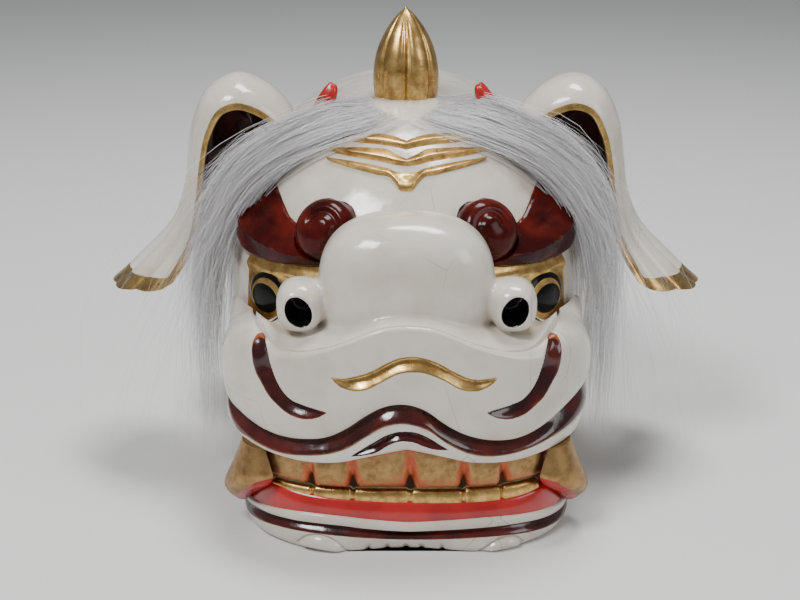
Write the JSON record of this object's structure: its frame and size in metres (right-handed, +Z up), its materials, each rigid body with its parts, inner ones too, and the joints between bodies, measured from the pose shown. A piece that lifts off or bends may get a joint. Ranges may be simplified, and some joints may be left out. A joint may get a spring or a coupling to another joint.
{
  "type": "lion dance head",
  "caption": "Carved and lacquered wooden lion head for a dance, open at the back, with a hinged lower jaw, drooping ears, a horn, gilt teeth and tusks, and long pale hair over the brows.",
  "frame": {"origin": "middle of the jaw's flat underside, 105 mm behind the lip's front, on the surface the head stands on", "axes": "+Z up, the face looks along -Y, +X to the right of a viewer in front"},
  "size_m": [0.286, 0.2, 0.2165],
  "materials": {
    "white_lacquer": "glossy ivory white lacquer on carved wood, a little chipped and scratched",
    "maroon_lacquer": "glossy dark red lacquer, worn to orange brown on the edges",
    "vermilion_lacquer": "glossy vermilion lacquer",
    "gold_leaf": "gold leaf, satin, slightly uneven and worn",
    "black_lacquer": "glossy black lacquer",
    "pale_hair": "long fine pale grey animal hair",
    "plain_wood": "plain turned wood"
  },
  "bodies": {
    "head": {"skull": "white_lacquer", "muzzle": "white_lacquer", "upper_lip": "white_lacquer", "nose": "white_lacquer", "nostril_left": "white_lacquer", "nostril_right": "white_lacquer", "brow_left": "maroon_lacquer", "brow_right": "maroon_lacquer", "socket_left": "gold_leaf", "socket_right": "gold_leaf", "pupil_left": "black_lacquer", "pupil_right": "black_lacquer", "forehead_line_1": "gold_leaf", "forehead_line_2": "gold_leaf", "forehead_line_3": "gold_leaf", "horn": "gold_leaf", "ear_left": "white_lacquer", "ear_right": "white_lacquer", "ear_tab_left": "vermilion_lacquer", "ear_tab_right": "vermilion_lacquer", "hair_left": "pale_hair", "hair_right": "pale_hair", "upper_teeth": "gold_leaf", "tusk_left": "gold_leaf", "tusk_right": "gold_leaf", "hinge_rod": "plain_wood"},
    "jaw": {"jaw": "white_lacquer", "gum": "vermilion_lacquer", "lower_teeth": "gold_leaf"}
  },
  "joints": [
    {"name": "jaw_hinge", "type": "hinge", "parent": "head", "child": "jaw", "pos_m": [0, 0.035, 0.05], "axis": [1, 0, 0], "range_deg": [0, 35]}
  ]
}
